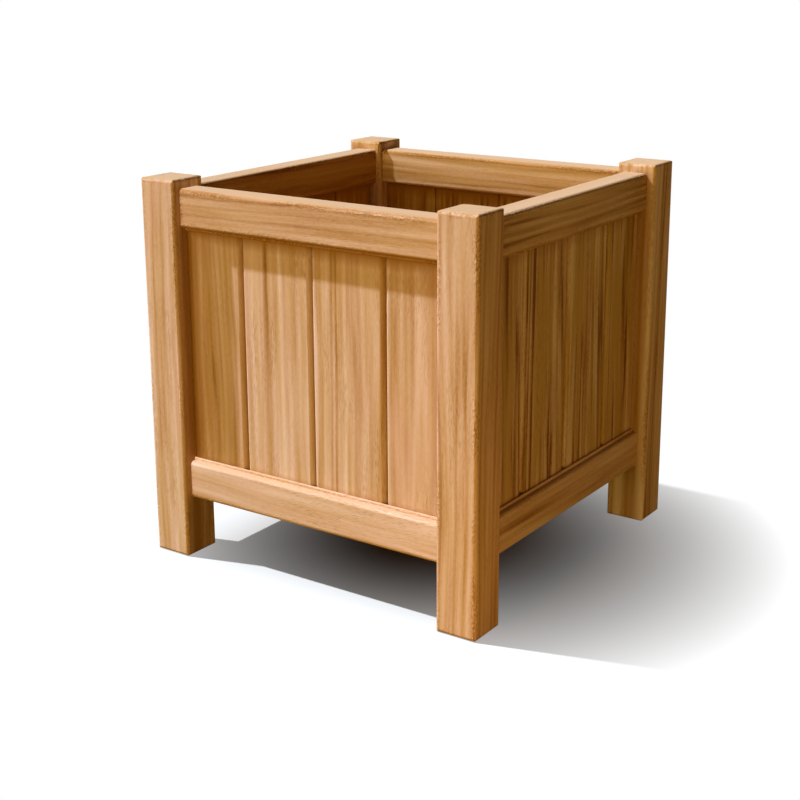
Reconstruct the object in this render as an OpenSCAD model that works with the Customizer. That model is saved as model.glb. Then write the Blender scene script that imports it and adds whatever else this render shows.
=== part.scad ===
// Square frame-and-panel planter in oiled hardwood, standing on its four corner posts.
// Millimetres, +Z up. The origin is on the floor under the middle of the planter.
// The front faces -Y. Each side is the front one turned by a quarter, so all four are alike.

/* [Overall] */
// Width and depth over the outer faces of the posts
planter_width = 500; // [440:10:640]
// Height from the floor to the tops of the posts
planter_height = 502; // [420:2:700]

/* [Posts] */
// Side of a square post
post_size = 55; // [54:1:70]
// Radius of the arrises of a post
post_arris = 4; // [1.5:0.5:5]
// How far the posts stand above the top rails
post_rise = 12; // [8:1:40]

/* [Rails] */
// Height of a rail
rail_height = 50; // [44:1:80]
// Thickness of a rail, from its outer face to its inner face
rail_thickness = 36; // [32:1:38]
// How far the outer faces of the rails stand back from those of the posts
rail_setback = 12; // [8:1:12]
// Height of the undersides of the bottom rails above the floor
foot_height = 80; // [30:1:120]
// Radius of the long arrises of a rail
rail_arris = 5; // [1.5:0.5:6]
// Thickness of the lip that stands in front of the boards
lip_thickness = 3; // [2:0.5:3]
// How far the lip stands out of the rail, over the foot or the head of the boards
lip_height = 4; // [2:0.5:8]

/* [Tenons] */
// Length of the stub tenons at the ends of a rail
tenon_length = 16; // [10:1:17]
// Thickness of a tenon
tenon_thickness = 12; // [8:1:12]
// Height of a tenon
tenon_height = 30; // [20:1:31]
// Shoulder between a tenon and the edge of the rail that is away from the boards
tenon_shoulder = 8; // [4:1:8]

/* [Boards] */
// Thickness of a board
board_thickness = 14; // [13:0.5:16]
// Distance between the joints of two boards
board_cover = 108; // [90:1:130]
// Width that the board beside a post shows at the least
board_least = 20; // [10:1:30]
// Depth and width of each slope of the V joint on the outer face
joint_bevel = 4.5; // [2:0.25:4.5]
// Depth and width of each slope of the joint on the inner face
inner_bevel = 1.5; // [0.5:0.25:3]
// Gap between two boards at the bottom of the V joint
joint_gap = 1; // [0.5:0.25:2]
// Thickness of a tongue
tongue_thickness = 4; // [2:0.25:4]
// Length of a tongue
tongue_length = 6; // [4:0.5:10]
// Depth of the grooves that hold the boards in the rails and the posts
panel_groove = 10; // [6:0.5:11]

/* [Floor] */
// Side of the square bearers that carry the floor
bearer_size = 22; // [18:1:26]
// Height of a bearer above the underside of the rail that it is screwed to
bearer_lift = 6; // [0:1:8]
// Width of a floor slat
slat_width = 70; // [50:1:90]
// Thickness of a floor slat
slat_thickness = 14; // [10:1:18]
// Gap between two floor slats at the least, for the water to drain
drain_gap = 8; // [5:1:20]
// Distance between the two screws at an end of a slat
slat_screw_spacing = 40; // [24:1:44]

/* [Screws] */
// Diameter of the shank of a screw
screw_shank = 4; // [3:0.5:5]
// Diameter of the countersunk head of a screw
screw_head = 8; // [7:0.5:9]
// Length of the screws that hold the bearers to the rails
bearer_screw_length = 42; // [34:1:50]
// Length of the screws that hold the slats to the bearers
slat_screw_length = 30; // [24:1:32]

/* [Fits] */
// Clearance on each side of a tenon, a tongue and the edge of a board in its groove
side_clearance = 0.2; // [0.1:0.05:0.3]
// Clearance at the end of a tenon, a tongue, a board, a bearer and a slat
end_clearance = 0.8; // [0.4:0.1:1]
// Clearance round a screw
screw_clearance = 0.1; // [0.05:0.05:0.2]

/* [Hidden] */
$fn = 48;
overcut = 1;

SIDES = ["front", "right", "back", "left"];
CORNERS = ["front_left", "front_right", "back_right", "back_left"];
BEARER_SIDES = [0, 2];

half_width = planter_width / 2;
// Half the opening between two posts
half_opening = half_width - post_size;
rail_length = 2 * half_opening;
rail_face = half_width - rail_setback;
rail_back = rail_face - rail_thickness;

bottom_rail_z = foot_height;
bottom_rail_top = bottom_rail_z + rail_height;
top_rail_z = planter_height - post_rise - rail_height;

// The boards and the tenons stand in the middle of the thickness of the rails
board_inset = (rail_thickness - board_thickness) / 2;
board_face = rail_face - board_inset;
tenon_inset = (rail_thickness - tenon_thickness) / 2;

boards_each_way = max(1, ceil((half_opening - board_least) / board_cover));
board_count = 2 * boards_each_way;
board_bite = panel_groove - end_clearance;
board_z = bottom_rail_top - board_bite;
board_length = top_rail_z - bottom_rail_top + 2 * board_bite;
tongue_inset = (board_thickness - tongue_thickness) / 2;

bearer_length = rail_length - 2 * end_clearance;
bearer_z = bottom_rail_z + bearer_lift;
bearer_middle = rail_back - bearer_size / 2;
slat_z = bearer_z + bearer_size;
slat_length = 2 * (rail_back - end_clearance);
slat_count = floor((bearer_length + drain_gap) / (slat_width + drain_gap));
slat_pitch = (bearer_length - slat_width) / (slat_count - 1);

head_depth = (screw_head - screw_shank) / 2;
tip_length = screw_shank;
recess_width = screw_shank / 4;
recess_span = screw_head * 0.6;
recess_depth = head_depth * 0.9;

timber_post = "#d6a673";
timber_rail = "#cf9a63";
timber_board = "#c48b53";
timber_floor = "#a8713f";
steel = "#b9bcc0";

// Turns a child from the front to side k, or from the front left corner to corner k
module on_side(k) {
    rotate([0, 0, 90 * k]) children();
}

// Repeats a cut in the front left post for the rails and boards of the left side
module both_faces() {
    children();
    mirror([1, -1, 0]) children();
}

// Rectangle with rounded corners, from the origin
module rounded_rectangle(size, radius) {
    translate([radius, 0]) square([size[0] - 2 * radius, size[1]]);
    translate([0, radius]) square([size[0], size[1] - 2 * radius]);
    for (x = [radius, size[0] - radius], y = [radius, size[1] - radius])
        translate([x, y]) circle(r = radius);
}

// Block with every arris rounded, from the origin
module rounded_block(size, radius) {
    intersection() {
        linear_extrude(size[2]) rounded_rectangle([size[0], size[1]], radius);
        translate([0, size[1], 0]) rotate([90, 0, 0])
            linear_extrude(size[1]) rounded_rectangle([size[0], size[2]], radius);
        rotate([90, 0, 90])
            linear_extrude(size[0]) rounded_rectangle([size[1], size[2]], radius);
    }
}

// Countersunk wood screw, pointing down, with the flat of its head at z = 0
module screw_body(length, grow = 0) {
    translate([0, 0, -head_depth - grow])
        cylinder(h = head_depth + grow, d1 = screw_shank + 2 * grow, d2 = screw_head + 4 * grow);
    translate([0, 0, tip_length - length])
        cylinder(h = length - tip_length - head_depth, d = screw_shank + 2 * grow);
    translate([0, 0, -length - grow])
        cylinder(h = tip_length + grow, d1 = screw_shank / 8 + 2 * grow, d2 = screw_shank + 2 * grow);
}

module screw(length) {
    difference() {
        screw_body(length);
        for (turn = [0, 90])
            rotate([0, 0, turn]) translate([-recess_span / 2, -recess_width / 2, -recess_depth])
                cube([recess_span, recess_width, recess_depth + overcut]);
    }
}

// Hole for a screw, open above its head
module screw_hole(length) {
    screw_body(length, screw_clearance);
    cylinder(h = overcut, d = screw_head + 4 * screw_clearance);
}

// Cut in a post for a rail's stub tenon, whose lower edge is at z
module mortise(z) {
    translate([-half_opening - tenon_length - end_clearance,
               -rail_face + tenon_inset - side_clearance,
               z - side_clearance])
        cube([tenon_length + end_clearance + overcut,
              tenon_thickness + 2 * side_clearance,
              tenon_height + 2 * side_clearance]);
}

// Cut in a post for the edge of the outermost board
module post_groove() {
    translate([-half_opening - panel_groove, -board_face - side_clearance, bottom_rail_top - panel_groove])
        cube([panel_groove + overcut,
              board_thickness + 2 * side_clearance,
              top_rail_z - bottom_rail_top + 2 * panel_groove]);
}

module post(k) {
    color(timber_post) on_side(k) difference() {
        translate([-half_width, -half_width, 0])
            rounded_block([post_size, post_size, planter_height], post_arris);
        both_faces() {
            mortise(bottom_rail_z + tenon_shoulder);
            mortise(top_rail_z + rail_height - tenon_shoulder - tenon_height);
            post_groove();
        }
    }
}

// Section of a rail with its grooved edge up: x runs inwards from the outer face, y upwards
module rail_section() {
    groove_start = board_inset - side_clearance;
    difference() {
        union() {
            rounded_rectangle([rail_thickness, rail_height], rail_arris);
            translate([groove_start - lip_thickness, rail_height - rail_arris])
                square([lip_thickness, rail_arris + lip_height - lip_thickness / 2]);
            translate([groove_start - lip_thickness / 2, rail_height + lip_height - lip_thickness / 2])
                circle(d = lip_thickness);
        }
        translate([groove_start, rail_height - panel_groove])
            square([board_thickness + 2 * side_clearance, panel_groove + lip_height + overcut]);
    }
}

// A rail of the front, with its underside at z = 0 and its grooved edge up
module plain_rail() {
    translate([-half_opening, -rail_face, 0]) rotate([90, 0, 90])
        linear_extrude(rail_length) rail_section();
    for (end = [0, 1])
        mirror([end, 0, 0])
            translate([half_opening, -rail_face + tenon_inset, tenon_shoulder])
                cube([tenon_length, tenon_thickness, tenon_height]);
}

module bottom_rail(k) {
    color(timber_rail) on_side(k) translate([0, 0, bottom_rail_z]) difference() {
        plain_rail();
        if (len(search(k, BEARER_SIDES)) > 0) translate([0, 0, -bottom_rail_z]) bearer_screw_holes();
    }
}

module top_rail(k) {
    color(timber_rail) on_side(k)
        translate([0, 0, top_rail_z + rail_height]) mirror([0, 0, 1]) plain_rail();
}

// Edges of a board in plan, from its outer face to its inner face.
// One at a post is plain, a left one at a joint is grooved and a right one has the tongue.
function joint_x(i) = (i - boards_each_way) * board_cover;
function plain_edge(x) = [[x, 0], [x, board_thickness]];
function grooved_edge(x) = let (
        near = tongue_inset - side_clearance,
        far = board_thickness - near,
        deep = x + tongue_length - joint_gap + end_clearance
    ) [
        [x + joint_bevel, 0], [x, joint_bevel], [x, near], [deep, near], [deep, far], [x, far],
        [x, board_thickness - inner_bevel], [x + inner_bevel, board_thickness]
    ];
function tongued_edge(x) = let (far = board_thickness - tongue_inset) [
        [x - joint_bevel, 0], [x, joint_bevel], [x, tongue_inset], [x + tongue_length, tongue_inset],
        [x + tongue_length, far], [x, far],
        [x, board_thickness - inner_bevel], [x - inner_bevel, board_thickness]
    ];
function reversed(list) = [for (i = [len(list) - 1 : -1 : 0]) list[i]];

module board(k, i) {
    edge = half_opening + board_bite;
    left = i == 0 ? plain_edge(-edge) : grooved_edge(joint_x(i) + joint_gap / 2);
    right = i == board_count - 1 ? plain_edge(edge) : tongued_edge(joint_x(i + 1) - joint_gap / 2);
    color(timber_board) on_side(k) translate([0, -board_face, board_z])
        linear_extrude(board_length) polygon(concat(left, reversed(right)));
}

// Places a child, a downward screw, at each screw of the front bearer, under the drain gaps
module at_bearer_screws() {
    for (i = [0 : slat_count - 2])
        translate([(i + 1 - slat_count / 2) * slat_pitch, -rail_back + bearer_size, bearer_z + bearer_size / 2])
            rotate([-90, 0, 0]) children();
}

// Places a child, a downward screw, at each screw of slat i, over the front and the back bearer
module at_slat_screws(i) {
    for (x = [-1, 1], y = [-1, 1])
        translate([slat_x(i) + x * slat_screw_spacing / 2, y * bearer_middle, slat_z + slat_thickness])
            children();
}

module bearer_screw_holes() {
    at_bearer_screws() screw_hole(bearer_screw_length);
}

module bearer(k) {
    color(timber_floor) difference() {
        on_side(k) difference() {
            translate([-bearer_length / 2, -rail_back, bearer_z])
                cube([bearer_length, bearer_size, bearer_size]);
            bearer_screw_holes();
        }
        for (i = [0 : slat_count - 1]) at_slat_screws(i) screw_hole(slat_screw_length);
    }
}

function slat_x(i) = (i - (slat_count - 1) / 2) * slat_pitch;

module floor_slat(i) {
    color(timber_floor) difference() {
        translate([slat_x(i) - slat_width / 2, -slat_length / 2, slat_z])
            cube([slat_width, slat_length, slat_thickness]);
        at_slat_screws(i) screw_hole(slat_screw_length);
    }
}

module bearer_screws() {
    color(steel) for (k = BEARER_SIDES) on_side(k) at_bearer_screws() screw(bearer_screw_length);
}

module slat_screws() {
    color(steel) for (i = [0 : slat_count - 1]) at_slat_screws(i) screw(slat_screw_length);
}

for (k = [0 : 3]) {
    post(k);
    top_rail(k);
    bottom_rail(k);
    for (i = [0 : board_count - 1])
        board(k, i);
}
for (k = BEARER_SIDES)
    bearer(k);
for (i = [0 : slat_count - 1])
    floor_slat(i);
bearer_screws();
slat_screws();
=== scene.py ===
"""Looks of a square hardwood planter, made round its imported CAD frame.

The planter is frame-and-panel joinery. Four square posts stand on the floor, and
between them moulded rails hold upright boards with V joints. Every stick was planed,
sanded and oiled, and its grain runs along its length. A slatted floor of bare sawn
timber lies on two bearers inside, held by stainless screws.

The CAD nodes keep their own shapes. This script gives each stick its own cut from the
log, sets the planter on a white floor under a low sun, and stands the camera where the
photograph was taken. Lengths are metres, except where a name says mm.
"""

import logging
import math
import random
from abc import ABC, abstractmethod
from dataclasses import dataclass, field
from enum import Enum
from functools import reduce

import bpy
from mathutils import Euler, Matrix, Vector


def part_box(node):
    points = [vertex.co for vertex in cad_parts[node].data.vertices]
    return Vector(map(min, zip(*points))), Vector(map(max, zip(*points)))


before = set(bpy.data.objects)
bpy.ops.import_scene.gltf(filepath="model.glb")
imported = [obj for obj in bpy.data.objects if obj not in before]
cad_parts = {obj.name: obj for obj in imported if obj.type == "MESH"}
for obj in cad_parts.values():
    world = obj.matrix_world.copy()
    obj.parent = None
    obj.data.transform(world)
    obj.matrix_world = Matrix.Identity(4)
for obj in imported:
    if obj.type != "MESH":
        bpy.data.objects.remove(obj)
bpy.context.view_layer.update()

LOG = logging.getLogger("planter")
FRAME_PIXELS = 800
SENSOR_MM = 36.0
MM_PER_M = 1000.0
# A wave texture of scale 1 has its bands this far apart
WAVE_STEP = math.tau / 20.0
SIDES = ("front", "right", "back", "left")

Tree = bpy.types.NodeTree
Socket = bpy.types.NodeSocket
Outputs = bpy.types.bpy_prop_collection
Pair = tuple[float, float]
Triple = tuple[float, float, float]


def linear(code: str) -> tuple[float, float, float, float]:
    """Turns an sRGB hex colour to the linear colour that the shaders use.

    Args:
        code: The colour as #RRGGBB.

    Returns:
        Red, green, blue and an alpha of 1.
    """
    channels = [int(code[i : i + 2], 16) / 255.0 for i in (1, 3, 5)]
    low = [c / 12.92 if c <= 0.04045 else ((c + 0.055) / 1.055) ** 2.4 for c in channels]
    return (low[0], low[1], low[2], 1.0)


def add_node(
    tree: Tree,
    kind: str,
    inputs: dict[str | int, object] | None = None,
    stops: tuple[tuple[float, str], ...] = (),
    **settings: object,
) -> bpy.types.Node:
    """Adds a node, sets it, and fills or links its inputs.

    Args:
        tree: The tree that the node goes into.
        kind: Blender's name for the node's type, less the ShaderNode in front of most.
        inputs: A value or an output socket for each input, by its name or number.
        stops: Places and sRGB hex colours along the node's colour ramp, if it has one.
        **settings: The node's own properties.

    Returns:
        The new node.
    """
    node = tree.nodes.new(kind if kind.startswith("Node") else f"ShaderNode{kind}")
    for name, value in settings.items():
        setattr(node, name, value)
    for key, value in (inputs or {}).items():
        if isinstance(value, Socket):
            tree.links.new(value, node.inputs[key])
        else:
            node.inputs[key].default_value = value
    for i, (place, code) in enumerate(stops):
        ramp = node.color_ramp.elements
        stop = ramp[i] if i < len(ramp) else ramp.new(place)
        stop.position = place
        stop.color = linear(code)
    return node


def greatest(tree: Tree, *values: Socket) -> Socket:
    """Finds the greatest of some shares or distances.

    Args:
        tree: The tree that they are in.
        *values: The shares or distances.

    Returns:
        The greatest.
    """
    return reduce(
        lambda a, b: add_node(tree, "Math", {0: a, 1: b}, operation="MAXIMUM").outputs[0], values
    )


def overlap(tree: Tree, *shares: Socket | float) -> Socket:
    """Multiplies shares, which leaves only what lies in all of them.

    Args:
        tree: The tree that they are in.
        *shares: The shares.

    Returns:
        Their product.
    """
    return reduce(
        lambda a, b: add_node(tree, "Math", {0: a, 1: b}, operation="MULTIPLY").outputs[0], shares
    )


def distances(tree: Tree, place: Socket) -> Outputs:
    """Gives the distances from the planter's middle planes, and the height, by axis."""
    apart = add_node(tree, "VectorMath", {0: place}, operation="ABSOLUTE").outputs[0]
    return add_node(tree, "SeparateXYZ", {"Vector": apart}).outputs


def new_material(name: str) -> bpy.types.Material:
    """Makes a material whose tree is still empty.

    Args:
        name: The finish, and the piece that it is for.

    Returns:
        The material.
    """
    material = bpy.data.materials.new(name)
    material.use_nodes = True
    material.node_tree.nodes.clear()
    return material


def cover(node: str, material: bpy.types.Material, shader: bpy.types.Node) -> None:
    """Ends a material with its shader, and covers a piece with it.

    Args:
        node: Name of the CAD node.
        material: The material.
        shader: The shader, in the material's tree.
    """
    add_node(material.node_tree, "OutputMaterial", {"Surface": shader.outputs[0]})
    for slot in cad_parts[node].material_slots:
        slot.material = material


class Axis(Enum):
    """Axis of the planter."""

    X = "X"
    Y = "Y"
    Z = "Z"


class Grain(Enum):
    """Way that the grain of a stick runs, as the turn that brings it upright."""

    UPRIGHT = (0.0, 0.0, 0.0)
    ALONG_X = (0.0, -90.0, 0.0)
    ALONG_Y = (90.0, 0.0, 0.0)

    def to_upright(self) -> Matrix:
        """Gives the turn from the planter's axes to ones with Z along the grain."""
        return Euler([math.radians(a) for a in self.value], "XYZ").to_matrix()


class Tone(Enum):
    """Natural colour of a stick: its lightness, and its pink and its khaki shares."""

    PALE = (0.12, 0.3, 0.5)
    STRAW = (0.04, 0.0, 1.0)
    OLIVE = (0.0, 0.0, 1.6)
    HONEY = (0.0, 0.2, 0.5)
    BLUSH = (-0.02, 0.6, 0.3)
    MOSS = (-0.06, 0.0, 1.5)
    FAWN = (0.07, 0.5, 0.6)
    GOLD = (-0.04, 0.0, 0.6)
    TAN = (-0.07, 0.5, 0.35)
    AMBER = (-0.11, 0.1, 0.4)
    RUSSET = (-0.12, 0.6, 0.2)

    @property
    def lift(self) -> float:
        """How much lighter than the usual the stick is, in steps of the tone ramp."""
        return self.value[0]

    @property
    def pink(self) -> float:
        """Share of the pink patches that the stick shows."""
        return self.value[1]

    @property
    def khaki(self) -> float:
        """Share of the khaki streaks that the stick shows."""
        return self.value[2]


@dataclass
class Cut:
    """How one stick was cut from its log.

    The name of the stick seeds what each one has of its own, the same each run.

    Attributes:
        node: Name of the CAD node.
        grain: Way that the grain runs.
        tone: Natural colour.
        pith_turn: Direction of the heart of the log round the grain, in degrees.
        ring_mm: Width of a growth ring.
        contrast: How strongly the figure shows, where 1 is the usual.
        arris_strength: How strongly the darker arris tint, partly painted shade, shows, where 1 is
            the most.
        torn: How much of the grain is torn by the arrises, where 1 is the most.
        pith_mm: Distance from the middle of the stick to the heart of the log.
        lean: Angle between the grain and the stick, in degrees.
        seed: Place along the log, which sets the figure apart from all others.
    """

    node: str
    grain: Grain
    tone: Tone
    pith_turn: float
    ring_mm: float
    contrast: float = 1.0
    arris_strength: float = 1.0
    torn: float = 1.0
    pith_mm: float = field(init=False)
    lean: float = field(init=False)
    seed: float = field(init=False)

    # Ranges that the pith, its turn, the lean, the rings' share and the seed are drawn from
    PITH_MM, TURNS, LEANS = (110.0, 190.0), (-12.0, 12.0), (-0.7, 0.7)
    RING_SHARES, SEEDS = (0.85, 1.2), (0.0, 400.0)
    # Length of log, in millimetres, that a step of the seed stands for
    SEED_MM = 37.0
    # Lean the other way, as a share of the lean
    SIDE_LEAN = -0.6

    def __post_init__(self) -> None:
        """Draws what the stick has of its own."""
        draw = random.Random(self.node)
        self.pith_mm = draw.uniform(*self.PITH_MM)
        self.pith_turn += draw.uniform(*self.TURNS)
        self.lean = draw.uniform(*self.LEANS)
        self.ring_mm *= draw.uniform(*self.RING_SHARES)
        self.seed = draw.uniform(*self.SEEDS)

    def placement(self) -> tuple[Euler, Vector]:
        """Places the stick in its log.

        Returns:
            The turn and the shift, in millimetres, that take a point of the stick to
            the log's axes, with Z along the heart.
        """
        low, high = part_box(self.node)
        middle = (low + high) / 2 * MM_PER_M
        leans = (math.radians(self.lean), math.radians(self.SIDE_LEAN * self.lean), 0.0)
        turn = Euler(leans).to_matrix() @ self.grain.to_upright()
        angle = math.radians(self.pith_turn)
        wanted = Vector((math.cos(angle), math.sin(angle), 0.0)) * self.pith_mm
        wanted.z = self.seed * self.SEED_MM
        return turn.to_euler("XYZ"), wanted - turn @ middle


@dataclass(frozen=True)
class Pattern:
    """Noise that is drawn out along the grain.

    Attributes:
        across_mm: Its size across the grain.
        along_mm: Its size along the grain.
        detail: Octaves of the noise.
        edges: Values of the noise at which a patch of it begins and is full.
    """

    across_mm: float
    along_mm: float
    detail: float = 1.0
    edges: Pair = (0.0, 1.0)

    @property
    def scale(self) -> Triple:
        """How much of the pattern fits into a millimetre, across it twice and along it."""
        return (1 / self.across_mm, 1 / self.across_mm, 1 / self.along_mm)


class HardwoodFigure:
    """Node group that draws the figure of straight-grained tropical hardwood.

    It takes a place in the log in millimetres and gives the lightness of the wood, its
    pink patches, its khaki streaks, its open pores, its relief, and the flecks of torn
    grain, which a material shows by its arrises only. Growth rings are noise along the
    distance from the heart, so they run on round the arrises and show as arcs on the
    ends of the sticks. What lies along the grain is noise that is drawn out that way.
    """

    # The grain wanders in a long wave and wavers in a short one, each up to half of this
    WANDER, WANDER_REACH_MM = Pattern(85.0, 520.0), 26.0
    WAVER, WAVER_REACH_MM = Pattern(16.0, 120.0), 3.2
    # Growth rings that a light or dark band takes in, octaves of its noise, and share of
    # the tone
    BANDS = ((2.2, 1.0, 0.66), (1.0, 1.0, 0.66), (0.3, 0.0, 0.06))
    FIBRE, FIBRE_SHARE = Pattern(1.6, 46.0, 2.0), 0.22
    STREAK, STREAK_SHARE = Pattern(6.5, 210.0), 0.8
    MOTTLE, MOTTLE_SHARE = Pattern(1.9, 5.5), 0.2
    PATCH, PATCH_SHARE = Pattern(34.0, 260.0, 2.0), 0.34
    PINK = Pattern(42.0, 300.0, edges=(0.40, 0.62))
    KHAKI = Pattern(13.0, 260.0, 1.5, (0.38, 0.64))
    # Real pores are 0.2 mm wide. These are drawn 0.6 mm wide, which the render can show.
    PORE = Pattern(1.2, 13.0, edges=(0.06, -0.12))
    # Pores crowd into some rings and all but leave the next ones
    PORE_REACH, PORE_CROWD = 0.05, 0.55
    # The oil has filled most of them, and they show in some zones only
    ZONE, FILLED = Pattern(60.0, 150.0, edges=(0.46, 0.64)), 0.25
    # Torn grain shows as flecks, lighter or darker than the middle value
    FLECK, FLECK_MIDDLE = Pattern(2.1, 3.4), 0.56
    TORN = Pattern(28.0, 80.0, edges=(0.38, 0.56))
    # What the fibres, the rings and the pores add to the relief
    RELIEF = (0.6, 0.4, -0.8)

    def __init__(self) -> None:
        """Builds the group."""
        self.tree = bpy.data.node_groups.new("hardwood_figure", "ShaderNodeTree")
        for name, kind in (("Log", "Vector"), ("Ring", "Float"), ("Seed", "Float")):
            self.tree.interface.new_socket(name, in_out="INPUT", socket_type=f"NodeSocket{kind}")
        for name in ("Tone", "Pink", "Khaki", "Pores", "Relief", "Torn"):
            self.tree.interface.new_socket(name, in_out="OUTPUT", socket_type="NodeSocketFloat")
        self.given = add_node(self.tree, "NodeGroupInput").outputs
        self._link()

    def _drawn_out(self, place: Socket, pattern: Pattern) -> Socket:
        """Scales a place so that a unit is as long and as wide as a pattern."""
        inputs = {0: place, 1: pattern.scale}
        return add_node(self.tree, "VectorMath", inputs, operation="MULTIPLY").outputs[0]

    def _noise(self, place: Socket, pattern: Pattern) -> Outputs:
        """Adds the noise of a pattern, and gives its value and its colour."""
        inputs = {"Vector": self._drawn_out(place, pattern), "Scale": 1.0, "Detail": pattern.detail}
        return add_node(self.tree, "TexNoise", inputs).outputs

    def _patches(
        self, place: Socket, pattern: Pattern, least: float = 0.0, way: str = "SMOOTHSTEP"
    ) -> Socket:
        """Finds the patches where the noise of a pattern is high.

        Args:
            place: The place in the log, in millimetres.
            pattern: The pattern, with the patches' edges.
            least: What it gives outside them.
            way: Blender's name for the way that it goes from one to the other.

        Returns:
            A share that is 1 in the patches.
        """
        begins, full = pattern.edges
        return add_node(
            self.tree,
            "MapRange",
            {"Value": self._noise(place, pattern)[0], 1: begins, 2: full, 3: least},
            interpolation_type=way,
        ).outputs[0]

    def _displaced(self, place: Socket, pattern: Pattern, reach_mm: float) -> Socket:
        """Moves the grain sideways by a pattern.

        Args:
            place: The place in the log, in millimetres.
            pattern: The pattern.
            reach_mm: Twice the furthest that it moves.

        Returns:
            The new place.
        """
        noise = {0: self._noise(place, pattern)["Color"], 1: (0.5, 0.5, 0.5)}
        centred = add_node(self.tree, "VectorMath", noise, operation="SUBTRACT").outputs[0]
        return add_node(
            self.tree,
            "VectorMath",
            {0: centred, 1: (reach_mm, reach_mm, 0.0), 2: place},
            operation="MULTIPLY_ADD",
        ).outputs[0]

    def _sum(self, *terms: tuple[Socket, float], start: Socket | float = 0.0) -> Socket:
        """Adds up numbers, each times its share.

        Args:
            *terms: The numbers and their shares.
            start: What they are added to.

        Returns:
            The sum.
        """
        for number, share in terms:
            inputs = {0: number, 1: share, 2: start}
            start = add_node(self.tree, "Math", inputs, operation="MULTIPLY_ADD").outputs[0]
        return start

    def _band(self, radius: Socket, rings: float, detail: float) -> Socket:
        """Varies the wood from ring to ring.

        Args:
            radius: Distance from the heart, in growth rings.
            rings: How many rings one light or dark band takes in.
            detail: Octaves of the noise.

        Returns:
            A number round 0.5 that is the same all along a ring.
        """
        along = self._sum((radius, 1 / rings), start=self.given["Seed"])
        inputs = {"W": along, "Scale": 1.0, "Detail": detail}
        return add_node(self.tree, "TexNoise", inputs, noise_dimensions="1D").outputs[0]

    def _link(self) -> None:
        """Links the group from its inputs to its outputs."""
        tree, log = self.tree, self.given["Log"]
        place = self._displaced(log, self.WANDER, self.WANDER_REACH_MM)
        place = self._displaced(place, self.WAVER, self.WAVER_REACH_MM)
        across = {0: place, 1: (1.0, 1.0, 0.0)}
        flat = add_node(tree, "VectorMath", across, operation="MULTIPLY").outputs[0]
        length = add_node(tree, "VectorMath", {0: flat}, operation="LENGTH").outputs["Value"]
        rings = {0: length, 1: self.given["Ring"]}
        radius = add_node(tree, "Math", rings, operation="DIVIDE").outputs[0]

        bands = [self._band(radius, width, detail) for width, detail, _ in self.BANDS]
        ring = bands[1]
        fibre = self._noise(place, self.FIBRE)[0]
        terms = (
            *((band, share) for band, (_, _, share) in zip(bands, self.BANDS)),
            (fibre, self.FIBRE_SHARE),
            (self._noise(place, self.STREAK)[0], self.STREAK_SHARE),
            (self._noise(place, self.MOTTLE)[0], self.MOTTLE_SHARE),
            (self._noise(place, self.PATCH)[0], self.PATCH_SHARE),
        )
        # Each number stays round 0.5, so this keeps the tone there too
        tone = self._sum(*terms, start=(1.0 - sum(share for _, share in terms)) / 2)

        pore = {"Vector": self._drawn_out(place, self.PORE), "Scale": 1.0}
        cell = add_node(tree, "TexVoronoi", pore).outputs["Distance"]
        begins, full = self.PORE.edges
        open_pores = add_node(
            tree,
            "MapRange",
            {
                "Value": self._sum((ring, -self.PORE_CROWD), (cell, 1.0), start=-self.PORE_REACH),
                1: begins,
                2: full,
            },
            interpolation_type="SMOOTHSTEP",
        ).outputs[0]
        pores = overlap(tree, open_pores, self._patches(log, self.ZONE, self.FILLED))
        flecks = self._sum((self._noise(place, self.FLECK)[0], 1.0), start=-self.FLECK_MIDDLE)
        add_node(
            tree,
            "NodeGroupOutput",
            {
                "Tone": tone,
                "Pink": self._patches(place, self.PINK),
                "Khaki": self._patches(place, self.KHAKI),
                "Pores": pores,
                "Relief": self._sum(*zip((fibre, ring, pores), self.RELIEF)),
                "Torn": overlap(tree, flecks, self._patches(log, self.TORN, way="LINEAR")),
            },
        )


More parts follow.
